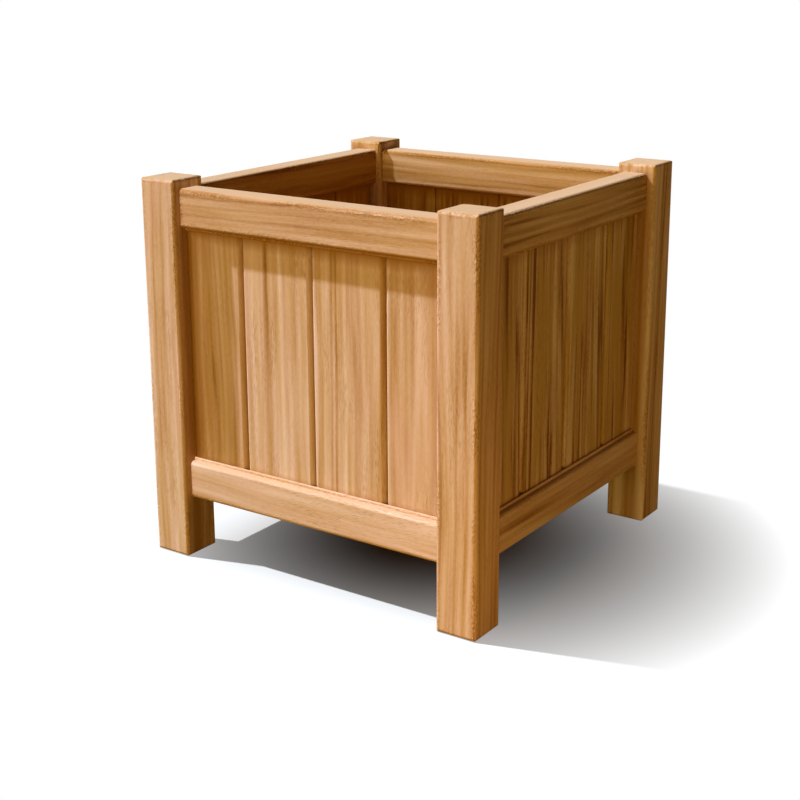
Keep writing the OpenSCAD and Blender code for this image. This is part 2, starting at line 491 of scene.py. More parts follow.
@dataclass(frozen=True)
class Surface:
    """What a stick's material knows of each point on it.

    Attributes:
        tree: The material's tree.
        place: The place on the planter, in metres.
        normal: The direction that the surface faces.
        log: The place in the log, in millimetres.
        wood: What the figure gives there, by name.
    """

    tree: Tree
    place: Socket
    normal: Socket
    log: Socket
    wood: Outputs

    # Greatest square of the normal's parts where a face is flat, and on a full arris
    FLAT, ROUND = 0.985, 0.75
    # Square of its part upwards on an upright arris, and on an upper one
    UPRIGHT, UPPER = 0.02, 0.2
    UPRIGHT_SHARE = 0.5
    # Likeness of a normal to those around it, away from an arris and beside one
    ALIKE, UNLIKE = 0.999, 0.95
    # Place along X, and facing along it, where the outside of the left side starts and is full
    LEFT_M = (-0.215, -0.22)
    LEFT_FACING = (-0.3, -0.9)

    @classmethod
    def of(cls, tree: Tree, cut: Cut, figure: HardwoodFigure) -> "Surface":
        """Lays the figure on a stick.

        Args:
            tree: The material's tree.
            cut: How the stick was cut.
            figure: The group that draws the figure.

        Returns:
            The surface.
        """
        here = add_node(tree, "TexCoord").outputs
        turn, shift = cut.placement()
        placed = {"Location": shift, "Rotation": turn, "Scale": (MM_PER_M,) * 3}
        log = add_node(tree, "Mapping", {"Vector": here["Object"], **placed}).outputs[0]
        given = {"Log": log, "Ring": cut.ring_mm, "Seed": cut.seed}
        wood = add_node(tree, "Group", given, node_tree=figure.tree).outputs
        return cls(tree, here["Object"], here["Normal"], log, wood)

    def away(self) -> Outputs:
        """Gives the distances from the planter's middle planes, and the height, by axis."""
        return distances(self.tree, self.place)

    def rise(
        self, distance: Socket, start_mm: float, end_mm: float, most: float = 1.0
    ) -> Socket:
        """Rises from 0 to most while a distance goes from start_mm to end_mm."""
        inputs = {"Value": distance, 1: start_mm / MM_PER_M, 2: end_mm / MM_PER_M, 4: most}
        return add_node(self.tree, "MapRange", inputs).outputs[0]

    def near_arris(self, reach_mm: float, most: float) -> Socket:
        """Finds what lies near an arris, where the normals around differ from its own.

        Args:
            reach_mm: How far from an arris it looks.
            most: What it gives at an arris.

        Returns:
            A number that is 0 on the middle of a face.
        """
        radius = {"Radius": reach_mm / MM_PER_M}
        around = add_node(self.tree, "Bevel", radius, samples=4).outputs[0]
        both = {0: around, 1: self.normal}
        alike = add_node(self.tree, "VectorMath", both, operation="DOT_PRODUCT").outputs["Value"]
        inputs = {"Value": alike, 1: self.ALIKE, 2: self.UNLIKE, 4: most}
        return add_node(self.tree, "MapRange", inputs).outputs[0]

    def arris(self) -> Socket:
        """Finds the rounded arrises, whose surface faces along none of the axes.

        Returns:
            1 on an upper arris, a half on an upright one and 0 on a flat face.
        """
        both = {0: self.normal, 1: self.normal}
        squares = add_node(self.tree, "VectorMath", both, operation="MULTIPLY").outputs[0]
        parts = add_node(self.tree, "SeparateXYZ", {"Vector": squares}).outputs
        most = greatest(self.tree, *parts)
        rounded = {"Value": most, 1: self.FLAT, 2: self.ROUND}
        upper = {"Value": parts["Z"], 1: self.UPRIGHT, 2: self.UPPER, 3: self.UPRIGHT_SHARE}
        return overlap(
            self.tree,
            *(add_node(self.tree, "MapRange", inputs).outputs[0] for inputs in (rounded, upper)),
        )

    def left_outside(self, facing: Socket) -> Socket:
        """Finds the outside of the left side, where painted shade tones down the sun on it.

        Args:
            facing: How far the surface faces along X.

        Returns:
            1 on the outside of the left side, and 0 elsewhere.
        """
        x = add_node(self.tree, "SeparateXYZ", {"Vector": self.place}).outputs["X"]
        ends = ((x, self.LEFT_M), (facing, self.LEFT_FACING))
        return overlap(
            self.tree,
            *(
                add_node(self.tree, "MapRange", {"Value": value, 1: start, 2: full}).outputs[0]
                for value, (start, full) in ends
            ),
        )


class ShadeAndStain(ABC):
    """Painted shade in the angles of the frame, and a darker, more saturated inside.

    Attributes:
        stain_mm: Distance from the planter's middle up to which the stick is darker and
            more saturated.
        stain_share: How far it is.
    """

    # Colour of the painted shade in the corners and hollows
    SHADE_COLOUR = "#99600D"
    # Tint that darkens and saturates the inner faces
    STAIN = "#E1CA61"
    STAIN_EDGE_MM = 1.5

    stain_mm: float
    stain_share: float

    @abstractmethod
    def share(self, surface: Surface) -> Socket:
        """Gives how far the wood of a surface goes to the colour of the painted shade."""

    def stain(self, surface: Surface) -> Socket:
        """Gives how far the wood is darkened and saturated, which it is inside only.

        Args:
            surface: The stick's surface.

        Returns:
            A share from 0 to stain_share.
        """
        away = surface.away()
        far = greatest(surface.tree, away["X"], away["Y"])
        edge = self.stain_mm + self.STAIN_EDGE_MM
        return surface.rise(far, edge, self.stain_mm, self.stain_share)


@dataclass(frozen=True)
class PanelShadeAndStain(ShadeAndStain):
    """Painted shade in the V joints of a board, under the top rail and beside the posts.

    Attributes:
        thickness: The planter's axis that the board's thickness lies along.
        joint_most: Share at the bottom of a V joint.
        rail_most: Share under the top rail.
        sill_most: Share on the bottom rail.
        post_most: Share beside the posts.
        nook_most: Share in the nooks that the top rail and the posts make, where it
            spreads three times as far.
        middle_mm: Distance from the planter's middle to the middle of the thickness.
        half_mm: Half the thickness.
        depth_mm: Depth below a face at which the joint is darkest.
        rail_mm: Height of the top rail's underside.
        sill_mm: Height of the bottom rail's upper edge.
        post_mm: Distance from the planter's middle to the posts.
        reach_mm: How far the painted shade spreads from a corner.
        full_mm: How far it is at its most, under the top rail and beside the posts.
        stain_mm: Distance from the planter's middle up to which the board is darker and more
            saturated.
        stain_share: How far it is.
    """

    thickness: Axis
    joint_most: float = 0.45
    rail_most: float = 1.0
    sill_most: float = 0.6
    post_most: float = 1.0
    nook_most: float = 0.6
    middle_mm: float = 220.0
    half_mm: float = 7.0
    depth_mm: float = 4.2
    rail_mm: float = 441.0
    sill_mm: float = 129.0
    post_mm: float = 196.0
    reach_mm: float = 22.0
    full_mm: Pair = (4.0, 1.0)
    stain_mm: float = 214.0
    stain_share: float = 1.0

    def share(self, surface: Surface) -> Socket:
        """Takes the most that the joint, the rails and the posts give.

        Args:
            surface: The board's surface.

        Returns:
            A share from 0 to 1.
        """
        tree, away = surface.tree, surface.away()
        out, height = away[self.thickness.value], away["Z"]
        for operation, value in (("SUBTRACT", self.middle_mm / MM_PER_M), ("ABSOLUTE", 0.0)):
            out = add_node(tree, "Math", {0: out, 1: value}, operation=operation).outputs[0]
        side = away["Y" if self.thickness is Axis.X else "X"]
        rail, sill, post, reach = self.rail_mm, self.sill_mm, self.post_mm, self.reach_mm
        half, deep = self.half_mm, self.depth_mm
        under, beside = self.full_mm
        # Painted shade where shade falls: in the V joints, under the top rail, above the bottom
        # rail, beside the posts, and further out in the nooks of rail and posts
        nook = overlap(
            tree,
            surface.rise(height, rail - 3 * reach, rail - reach / 2),
            surface.rise(side, post - 3 * reach, post, self.nook_most),
        )
        return greatest(
            tree,
            nook,
            surface.rise(out, half - deep / 8, half - deep, self.joint_most),
            surface.rise(height, rail - reach, rail - under, self.rail_most),
            surface.rise(height, sill + reach / 2, sill, self.sill_most),
            surface.rise(side, post - reach, post - beside, self.post_most),
        )


@dataclass(frozen=True)
class PostShadeAndStain(ShadeAndStain):
    """Painted shade on a post's inner faces, in the angle that they make with the rails.

    Attributes:
        inner_mm: Distance from the planter's middle to the inner faces.
        inner_edge_mm: How far out of them the shade begins, and is full.
        rail_mm: Distance from the planter's middle to the rails' outer faces.
        behind_mm: How far inside those the shade begins, and is full.
        outer_mm: Distance from the planter's middle to the posts' outer faces.
        top_mm: Height of the top rail's upper face.
        clear_mm: Height above which the posts have none of it.
        most: Share beside the rail.
        stain_mm: Distance from the planter's middle up to which the post is darker and more
            saturated.
        stain_share: How far it is.
    """

    inner_mm: float = 195.0
    inner_edge_mm: Pair = (3.0, 0.5)
    rail_mm: float = 236.0
    behind_mm: Pair = (22.0, 12.0)
    outer_mm: float = 250.0
    top_mm: float = 489.0
    clear_mm: float = 499.0
    most: float = 0.75
    stain_mm: float = 203.0
    stain_share: float = 0.5

    def share(self, surface: Surface) -> Socket:
        """Keeps to the inner faces, and thins out towards the outer ones.

        Args:
            surface: The post's surface.

        Returns:
            A share from 0 to 1.
        """
        tree, away = surface.tree, surface.away()
        near, far = (
            add_node(tree, "Math", {0: away["X"], 1: away["Y"]}, operation=operation).outputs[0]
            for operation in ("MINIMUM", "MAXIMUM")
        )
        # Painted shade in the angle of post and rails, where shade falls
        return overlap(
            tree,
            surface.rise(far, self.outer_mm, self.rail_mm, self.most),
            surface.rise(near, *(self.inner_mm + edge for edge in self.inner_edge_mm)),
            surface.rise(away["Z"], self.clear_mm, self.top_mm),
            surface.rise(far, *(self.rail_mm - edge for edge in self.behind_mm)),
        )


@dataclass(frozen=True)
class RailShadeAndStain(ShadeAndStain):
    """Painted shade along the lower arris of a top rail.

    Attributes:
        under_mm: Height of the rail's underside.
        reach_mm: How far up the shade comes.
        most: Share on the underside.
        stain_mm: Distance from the planter's middle up to which the rail is darker and more
            saturated.
        stain_share: How far it is.
    """

    under_mm: float = 441.5
    reach_mm: float = 3.0
    most: float = 0.7
    stain_mm: float = 203.0
    stain_share: float = 0.4

    def share(self, surface: Surface) -> Socket:
        """Thins out up the rail."""
        above = self.under_mm + self.reach_mm
        # Painted shade, darker towards the rail's underside
        return surface.rise(surface.away()["Z"], above, self.under_mm, self.most)


@dataclass(frozen=True)
class Layer:
    """A colour that lies over the wood where a mask says.

    Attributes:
        mask: The mask.
        most: Share of the colour where the mask is full.
        code: The colour, as #RRGGBB.
        edges: Values of the mask at which the colour begins to show and shows most.
        blend: Blender's name for the way that it lies over the wood.
    """

    mask: Socket
    most: float
    code: str
    edges: Pair = (0.0, 1.0)
    blend: str = "MIX"

    def over(self, tree: Tree, colour: Socket) -> Socket:
        """Lays the colour over another.

        Args:
            tree: The material's tree.
            colour: The colour under it.

        Returns:
            The colour of both.
        """
        begins, full = self.edges
        inputs = {"Value": self.mask, 1: begins, 2: full, 4: self.most}
        share = add_node(tree, "MapRange", inputs).outputs[0]
        # Sockets 6 and 7 are the two colours, and output 2 is theirs
        colours = {0: share, 6: colour, 7: linear(self.code)}
        return add_node(tree, "Mix", colours, data_type="RGBA", blend_type=self.blend).outputs[2]


@dataclass(frozen=True)
class Timber:
    """A hardwood and its surface, which every kind of timber here shares.

    Attributes:
        name: Name that the materials start with.
        ramp: Colours from the darkest wood to the lightest, along the tone.
        pink: Colour of the pink heartwood.
        khaki: Colour of the khaki streaks.
        pore: Colour of the open pores.
        pore_share: How far the pores go to that colour.
        arris: Colour of the rounded arrises. On the oiled wood it is darker, partly grime
            and partly painted shade against the light that they catch. On the sawn wood it
            is lighter.
        arris_share: How far the upper arrises go to it where the tint is strongest.
        top_tint: Colour of the faces that look up. On the oiled wood it is darker, painted
            shade that holds back the strong sun on them.
        end_grain: The same for the ends that look up.
        top_tint_share: How far both go to it.
        left_tint: Tint of the outside of the left side. On the oiled wood it darkens it, painted
        shade against the sun on that side.
        roughness: Roughness of the lightest and of the darkest wood.
        relief_mm: Height of the raised grain.
        torn: How strongly the torn grain shows by the arrises.
        torn_mm: How far from an arris the plane has torn the grain.
        specular: Specular level.
        eased_mm: Radius of the eased shoulders of the V joints.
        saw_mm: Distance between the ridges that the saw left, or 0 where it was planed.
    """

    name: str
    ramp: tuple[tuple[float, str], ...]
    pink: str
    khaki: str
    pore: str
    pore_share: float
    arris: str
    arris_share: float
    top_tint: str
    end_grain: str
    top_tint_share: float
    left_tint: str
    roughness: Pair
    relief_mm: float
    torn: float
    torn_mm: float
    specular: float
    eased_mm: float = 3.2
    saw_mm: float = 0.0

    # Tones at which the wood is smoothest and roughest
    SMOOTH_TONE, ROUGH_TONE = 0.8, 0.2
    # Share of an arris at which hands and weather have taken the last of the sheen
    SHEEN_GONE = 0.4
    # Relief of the torn grain and of the saw's ridges, where that of the grain is 1
    TORN_RELIEF, SAW_RELIEF = 4.0, 0.5
    # How the saw's ridges waver across the stick
    SAW_WAVER = {"Distortion": 2.5, "Detail": 1.0, "Detail Scale": 0.3}
    # Share of the pink or the khaki in a patch of a stick that has all of it
    PATCH_MOST = 0.6
    # How strongly the arris tint shows where it is weakest
    ARRIS_LEAST = 0.35
    # Share that a surface looks up at which the top tint begins and is full
    LOOKS_UP = (0.5, 0.95)

    def dress(self, cut: Cut, figure: HardwoodFigure, shade_and_stain: ShadeAndStain | None) -> None:
        """Makes a stick's own material and puts it on.

        Args:
            cut: How the stick was cut.
            figure: The group that draws the figure.
            shade_and_stain: The painted shade in its corners and its darker inside, if it has any.
        """
        material = new_material(f"{self.name}_{cut.node}")
        tree = material.node_tree
        surface = Surface.of(tree, cut, figure)
        torn_most = self.torn * cut.torn
        near = surface.near_arris(self.torn_mm, torn_most) if torn_most else 0.0
        torn = overlap(tree, near, surface.wood["Torn"])
        smooth, rough = self.roughness
        tones = {1: self.SMOOTH_TONE, 2: self.ROUGH_TONE, 3: smooth, 4: rough}
        dryness = {"Value": surface.wood["Tone"], **tones}
        sheen = {"Value": surface.arris(), 2: self.SHEEN_GONE, 3: self.specular, 4: 0.0}
        shader = add_node(
            tree,
            "BsdfPrincipled",
            {
                "Base Color": self._colour(surface, cut, shade_and_stain, torn),
                "Roughness": add_node(tree, "MapRange", dryness).outputs[0],
                "Normal": self._relief(surface, isinstance(shade_and_stain, PanelShadeAndStain), torn),
                "IOR": 1.5,
                "Specular IOR Level": add_node(tree, "MapRange", sheen).outputs[0],
            },
        )
        cover(cut.node, material, shader)

    def _relief(self, surface: Surface, jointed: bool, torn: Socket) -> Socket:
        """Raises the grain, sinks the pores, and adds the saw's ridges across the grain.

        Args:
            surface: The stick's surface.
            jointed: Whether the stick has V joints, whose shoulders are eased.
            torn: The torn grain by the arrises.

        Returns:
            The bent normal.
        """
        tree, height = surface.tree, surface.wood["Relief"]
        parts = [(torn, self.TORN_RELIEF)]
        if self.saw_mm:
            ridges = {"Vector": surface.log, "Scale": WAVE_STEP / self.saw_mm, **self.SAW_WAVER}
            wave = add_node(tree, "TexWave", ridges, wave_type="BANDS", bands_direction="Z")
            parts.append((wave.outputs["Fac"], self.SAW_RELIEF))
        for part, share in parts:
            added = {0: part, 1: share, 2: height}
            height = add_node(tree, "Math", added, operation="MULTIPLY_ADD").outputs[0]
        inputs = {"Height": height, "Distance": self.relief_mm / MM_PER_M}
        if jointed:
            radius = {"Radius": self.eased_mm / MM_PER_M}
            inputs["Normal"] = add_node(tree, "Bevel", radius, samples=6).outputs[0]
        return add_node(tree, "Bump", inputs).outputs[0]

    def _colour(self, surface: Surface, cut: Cut, shade_and_stain: ShadeAndStain | None, torn: Socket) -> Socket:
        """Colours the wood by tone, patches and pores, with painted shade and a darker inside.

        Args:
            surface: The stick's surface.
            cut: How the stick was cut.
            shade_and_stain: The painted shade in the stick's corners and its darker inside, if any.
            torn: The torn grain by the arrises, whose flecks are darker or lighter.

        Returns:
            The colour.
        """
        tree, wood, tone = surface.tree, surface.wood, cut.tone
        middle = 0.5 * (1.0 - cut.contrast) + tone.lift
        figured = {0: wood["Tone"], 1: cut.contrast, 2: middle}
        place = add_node(tree, "Math", figured, operation="MULTIPLY_ADD").outputs[0]
        flecked = {0: place, 1: torn}
        place = add_node(tree, "Math", flecked, operation="ADD", use_clamp=True).outputs[0]
        colour = add_node(tree, "ValToRGB", {"Fac": place}, stops=self.ramp).outputs[0]
        facing = add_node(tree, "SeparateXYZ", {"Vector": surface.normal}).outputs
        # The arris tint is stronger here and weaker there, along the khaki streaks
        arris_strength = {"Value": wood["Khaki"], 3: self.ARRIS_LEAST}
        arris_streaks = add_node(tree, "MapRange", arris_strength).outputs[0]
        arris = overlap(tree, surface.arris(), arris_streaks)
        upward_tint = self.end_grain if cut.grain is Grain.UPRIGHT else self.top_tint
        layers = [
            Layer(wood["Pink"], self.PATCH_MOST * tone.pink, self.pink),
            Layer(wood["Khaki"], self.PATCH_MOST * tone.khaki, self.khaki),
            # Painted shade on the oiled wood: the faces that look up are darker, against the strong
            # sun on them
            Layer(facing["Z"], self.top_tint_share, upward_tint, self.LOOKS_UP),
            # On the oiled wood, partly grime and partly painted shade: darker arrises, the upper
            # ones most, against the light that they catch
            Layer(arris, self.arris_share * cut.arris_strength, self.arris),
            Layer(wood["Pores"], self.pore_share, self.pore),
            # Painted shade on the oiled wood: the outside of the left side is darker, against the
            # sun on it
            Layer(surface.left_outside(facing["X"]), 1.0, self.left_tint, blend="MULTIPLY"),
        ]
        if shade_and_stain:
            # The stain darkens the wood and leaves its figure to be seen
            layers.append(Layer(shade_and_stain.stain(surface), 1.0, shade_and_stain.STAIN, blend="MULTIPLY"))
            # Painted shade in the corners and hollows, where shade falls
            layers.append(Layer(shade_and_stain.share(surface), 1.0, shade_and_stain.SHADE_COLOUR))
        for layer in layers:
            colour = layer.over(tree, colour)
        return colour


# Teak or iroko, planed, sanded and oiled. The oil lies in the wood and leaves no film, so
# the sheen is low and broad. The eye sees light and dark bands with fine brown pores.
OILED_HARDWOOD = Timber(
    name="oiled_planed_hardwood",
    ramp=(
        (0.0, "#84531F"), (0.14, "#A06B37"), (0.32, "#BF8E61"), (0.5, "#CFA27E"),
        (0.72, "#DEB69A"), (1.0, "#EBCAB2"),
    ),
    pink="#DEA98F",
    khaki="#CBA05E",
    pore="#8A5829",
    pore_share=0.32,
    # Darker arrises: partly grime and partly painted shade against the light that they catch
    arris="#A06A38",
    arris_share=0.9,
    # Painted shade: the faces and the ends that look up are darker, against the strong sun on them
    top_tint="#BA8F66",
    end_grain="#B78D63",
    top_tint_share=0.88,
    # Painted shade: the outside of the left side is darker, against the sun on it
    left_tint="#F5E7CF",
    roughness=(0.5, 0.68),
    relief_mm=0.16,
    torn=2.2,
    torn_mm=11.0,
    specular=0.08,
)

# The same timber straight off the saw and left bare. It is duller and drier, and the
# blade has left fine ridges across it.
SAWN_HARDWOOD = Timber(
    name="bare_sawn_hardwood",
    ramp=(
        (0.0, "#7E5430"), (0.28, "#9A6F45"), (0.5, "#AE8457"), (0.74, "#BF976A"), (1.0, "#CFAE84"),
    ),
    pink="#B58562",
    khaki="#A88C60",
    pore="#5F3D20",
    pore_share=0.55,
    arris="#C2A37C",
    arris_share=0.3,
    top_tint="#A98B68",
    end_grain="#A98B68",
    top_tint_share=0.2,
    left_tint="#FFFFFF",
    roughness=(0.72, 0.88),
    relief_mm=0.3,
    torn=0.0,
    torn_mm=4.0,
    specular=0.1,
    saw_mm=3.2,
)


@dataclass(frozen=True)
class TurnedStainless:
    """Stainless steel, turned on a lathe, as the wood screws are.

    The tool leaves fine rings round the screw, which draw its highlights out.

    Attributes:
        name: Name of the material.
        bright: Colour of the clean metal.
        dull: Colour where damp wood has stained it.
        stain_mm: Size of the stains.
        stained: Values of their noise at which the metal is clean and is stained.
        groove_mm: Distance between the tool's rings, drawn coarser than the real 0.1 mm,
            which the render can't show.
        depth_mm: Depth of the rings.
        roughness: Roughness of the clean and of the stained metal.
    """

    name: str = "turned_stainless_steel"
    bright: str = "#C8C9C7"
    dull: str = "#9B968C"
    stain_mm: float = 6.0
    stained: Pair = (0.35, 0.7)
    groove_mm: float = 0.5
    depth_mm: float = 0.03
    roughness: Pair = (0.26, 0.46)

    def dress(self, node: str, axis: Axis) -> None:
        """Makes the material and puts it on a node.

        Args:
            node: Name of the CAD node.
            axis: The axis that the screws lie along.
        """
        material = new_material(f"{self.name}_{node}")
        tree = material.node_tree
        here = add_node(tree, "TexCoord").outputs["Object"]
        spots = {"Vector": here, "Scale": MM_PER_M / self.stain_mm, "Detail": 3.0}
        stain = add_node(tree, "TexNoise", spots).outputs[0]
        turned = {"Vector": here, "Scale": WAVE_STEP * MM_PER_M / self.groove_mm}
        rings = add_node(
            tree, "TexWave", turned, wave_type="BANDS", bands_direction=axis.value
        ).outputs["Fac"]
        clean, full = self.stained
        colours = ((clean, self.bright), (full, self.dull))
        smooth, rough = self.roughness
        worn = {"Value": stain, 1: clean, 2: full, 3: smooth, 4: rough}
        grooves = {"Height": rings, "Distance": self.depth_mm / MM_PER_M}
        shader = add_node(
            tree,
            "BsdfPrincipled",
            {
                "Base Color": add_node(
                    tree, "ValToRGB", {"Fac": stain}, stops=colours
                ).outputs[0],
                "Metallic": 1.0,
                "Roughness": add_node(tree, "MapRange", worn).outputs[0],
                "Normal": add_node(tree, "Bump", grooves).outputs[0],
            },
        )
        cover(node, material, shader)


class SubAssembly(ABC):
    """A set of like sticks that are made and finished together."""

    @abstractmethod
    def cuts(self) -> list[Cut]:
        """Gives the cut of each stick."""

    def shade_and_stain_of(self, node: str) -> ShadeAndStain | None:
        """Gives the painted shade and the darker inside of a stick, if it has any."""
        return None

    def dress(self, timber: Timber, figure: HardwoodFigure) -> None:
        """Gives each stick its own timber.

        Args:
            timber: The timber and its surface.
            figure: The group that draws the figure.
        """
        for cut in self.cuts():
            timber.dress(cut, figure, self.shade_and_stain_of(cut.node))
            LOG.info("%s is %s, %s, grain %s", cut.node, timber.name, cut.tone.name, cut.grain.name)


@dataclass
class Posts(SubAssembly):
    """The four corner posts. Their ends are the feet.

    Attributes:
        tones: Colour of the post at each corner. The back right one, which stands in shade, is
            paler, which is painted light.
        contrasts: How strongly the figure of each shows.
        pith_turn: Direction of the log's heart, on the diagonal, so that each of the
            four faces shows bands.
        ring_mm: Width of a growth ring.
        arris_strength: How strongly the arris tint shows on them.
    """

    tones: dict[str, Tone] = field(
        default_factory=lambda: {
            "front_left": Tone.FAWN,
            "front_right": Tone.TAN,
            "back_right": Tone.PALE,
            "back_left": Tone.STRAW,
        }
    )
    # Painted light: the back right post stands in shade, and its figure is painted stronger to show
    # through it
    contrasts: tuple[float, float, float, float] = (1.2, 0.85, 1.5, 1.2)
    pith_turn: float = 48.0
    ring_mm: float = 7.5
    arris_strength: float = 0.5

    def cuts(self) -> list[Cut]:
        """Gives the cut of each post.

        Returns:
            The cuts, in order.
        """
        cuts = []
        for i, (corner, tone) in enumerate(self.tones.items()):
            cuts.append(
                Cut(
                    f"post_{corner}", Grain.UPRIGHT, tone, self.pith_turn + 90 * i, self.ring_mm,
                    self.contrasts[i], self.arris_strength,
                )
            )
        return cuts

    def shade_and_stain_of(self, node: str) -> ShadeAndStain:
        """Gives the painted shade in the angles that a post makes with its rails."""
        return PostShadeAndStain()


@dataclass
class Rails(SubAssembly):
    """The top or the bottom rails, which are moulded alike.

    Attributes:
        level: Word for the level, which the nodes' names start with.
        tones: Colour of the rail on each side. A pale one on the shaded right is painted light.
        arris_strength: How strongly the arris tint shows on each.
        torn: How much of the grain is torn by the arrises.
        shades_and_stains: The painted shade and darker inside of the rail on a side, if any.
        contrasts: How strongly the figure of each shows.
        pith_turns: Direction of the log's heart in the rails across and in the deep ones.
        ring_mm: Width of a growth ring.
    """

    level: str
    tones: tuple[Tone, Tone, Tone, Tone]
    arris_strength: tuple[float, float, float, float]
    torn: float = 1.0
    shades_and_stains: dict[str, RailShadeAndStain] = field(default_factory=dict)
    # Painted light: the right rails stand in shade, and their figure is painted stronger to show
    # through it
    contrasts: tuple[float, float, float, float] = (0.95, 1.3, 0.95, 0.95)
    pith_turns: Pair = (30.0, 60.0)
    ring_mm: float = 8.0

    def cuts(self) -> list[Cut]:
        """Gives the cut of each rail.

        Returns:
            The cuts, in order.
        """
        ways = tuple(zip((Grain.ALONG_X, Grain.ALONG_Y), self.pith_turns))
        cuts = []
        for i, side in enumerate(SIDES):
            grain, turn = ways[i % 2]
            cuts.append(
                Cut(
                    f"{self.level}_rail_{side}", grain, self.tones[i], turn, self.ring_mm,
                    self.contrasts[i], self.arris_strength[i], self.torn,
                )
            )
        return cuts

    def shade_and_stain_of(self, node: str) -> ShadeAndStain | None:
        """Gives the painted shade and darker inside of a rail, if it has any."""
        return self.shades_and_stains.get(node.split("_")[2])


@dataclass
class Panels(SubAssembly):
    """The upright boards, four to a side, sawn close to the quarter.

    A fine plane cut their V joints, which tears nothing, and they have no arris tint.

    Attributes:
        tones: Natural colours of the boards of each side, from its left.
        contrasts: How strongly the figure of each shows.
        shades_and_stains: The painted shade and darker inside of the boards of each side. The
        right ones have little painted shade.
        pith_turns: Direction of each board's log's heart, from that of its side.
        ring_mm: Width of a growth ring.
    """

    tones: dict[str, tuple[Tone, Tone, Tone, Tone]] = field(
        default_factory=lambda: {
            "front": (Tone.HONEY, Tone.FAWN, Tone.HONEY, Tone.BLUSH),
            "right": (Tone.MOSS, Tone.OLIVE, Tone.OLIVE, Tone.OLIVE),
            "back": (Tone.GOLD, Tone.BLUSH, Tone.HONEY, Tone.STRAW),
            "left": (Tone.GOLD, Tone.AMBER, Tone.AMBER, Tone.AMBER),
        }
    )
    contrasts: dict[str, tuple[float, float, float, float]] = field(
        default_factory=lambda: {
            "front": (0.9, 0.9, 0.95, 0.8),
            # Painted light: the right and back boards stand in shade, and their figure is painted
            # stronger to show through it
            "right": (2.2, 2.2, 3.0, 3.0),
            "back": (2.0, 2.0, 2.0, 2.0),
            "left": (1.0, 1.0, 1.0, 1.0),
        }
    )
    shades_and_stains: dict[str, PanelShadeAndStain] = field(
        default_factory=lambda: {
            "front": PanelShadeAndStain(Axis.Y),
            "right": PanelShadeAndStain(
                Axis.X, joint_most=0.1, rail_most=0.5, post_most=0.15, nook_most=0.4
            ),
            "back": PanelShadeAndStain(Axis.Y),
            "left": PanelShadeAndStain(Axis.X),
        }
    )
    pith_turns: tuple[float, float, float, float] = (24.0, 156.0, -22.0, 204.0)
    ring_mm: float = 8.5

    def cuts(self) -> list[Cut]:
        """Gives the cut of each board.

        Returns:
            The cuts, in order.
        """
        cuts = []
        for i, side in enumerate(SIDES):
            outward = 90.0 * (i % 2)
            boards = zip(self.tones[side], self.pith_turns, self.contrasts[side])
            for number, (tone, turn, contrast) in enumerate(boards, start=1):
                cuts.append(
                    Cut(
                        f"board_{side}_{number}", Grain.UPRIGHT, tone, outward + turn,
                        self.ring_mm, contrast, arris_strength=0.0, torn=0.0,
                    )
                )
        return cuts

    def shade_and_stain_of(self, node: str) -> ShadeAndStain:
        """Gives the painted shade and darker inside of a board."""
        return self.shades_and_stains[node.split("_")[1]]


@dataclass
class SlattedFloor(SubAssembly):
    """The floor slats and the two bearers under them.

    Attributes:
        tones: Natural colour of each slat.
        pith_turns: Direction of the log's heart in the first slat, and the step from each
            slat to the next.
        bearer_tone: Natural colour of the bearers.
        bearer_turn: Direction of the log's heart in them.
        ring_mm: Width of a growth ring.
        arris_mm: Width of the worn arrises.
        sharp: Angle of the arrises that have worn, in degrees.
    """

    tones: tuple[Tone, ...] = (Tone.HONEY, Tone.RUSSET, Tone.STRAW, Tone.HONEY, Tone.GOLD)
    pith_turns: Pair = (35.0, 40.0)
    bearer_tone: Tone = Tone.HONEY
    bearer_turn: float = 40.0
    ring_mm: float = 5.0
    arris_mm: float = 0.8
    sharp: float = 80.0

    def cuts(self) -> list[Cut]:
        """Gives the cut of each slat and bearer.

        Returns:
            The cuts, in order.
        """
        first, step = self.pith_turns
        slats = [
            Cut(f"floor_slat_{i + 1}", Grain.ALONG_Y, tone, first + step * i, self.ring_mm)
            for i, tone in enumerate(self.tones)
        ]
        bearers = [
            Cut(node, Grain.ALONG_X, self.bearer_tone, self.bearer_turn, self.ring_mm)
            for node in ("bearer_front", "bearer_back")
        ]
        return slats + bearers

    def soften(self) -> None:
        """Breaks the sharp arrises of the sawn sticks a little."""
        for cut in self.cuts():
            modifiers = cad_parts[cut.node].modifiers
            bevel = modifiers.new("worn_arris", "BEVEL")
            bevel.width = self.arris_mm / MM_PER_M
            bevel.segments = 2
            bevel.limit_method = "ANGLE"
            bevel.angle_limit = math.radians(self.sharp)
            bevel.use_clamp_overlap = True
            modifiers.new("flat_faces", "WEIGHTED_NORMAL").keep_sharp = True


@dataclass
class Screws:
    """The wood screws of the bearers and of the slats.

    Attributes:
        axes: The axis that the screws of each CAD node lie along.
    """

    axes: dict[str, Axis] = field(
        default_factory=lambda: {"bearer_screws": Axis.Y, "slat_screws": Axis.Z}
    )

    def dress(self, steel: TurnedStainless) -> None:
        """Gives the screws their steel.

        Args:
            steel: The steel and its surface.
        """
        for node, axis in self.axes.items():
            steel.dress(node, axis)
            LOG.info("%s is %s", node, steel.name)


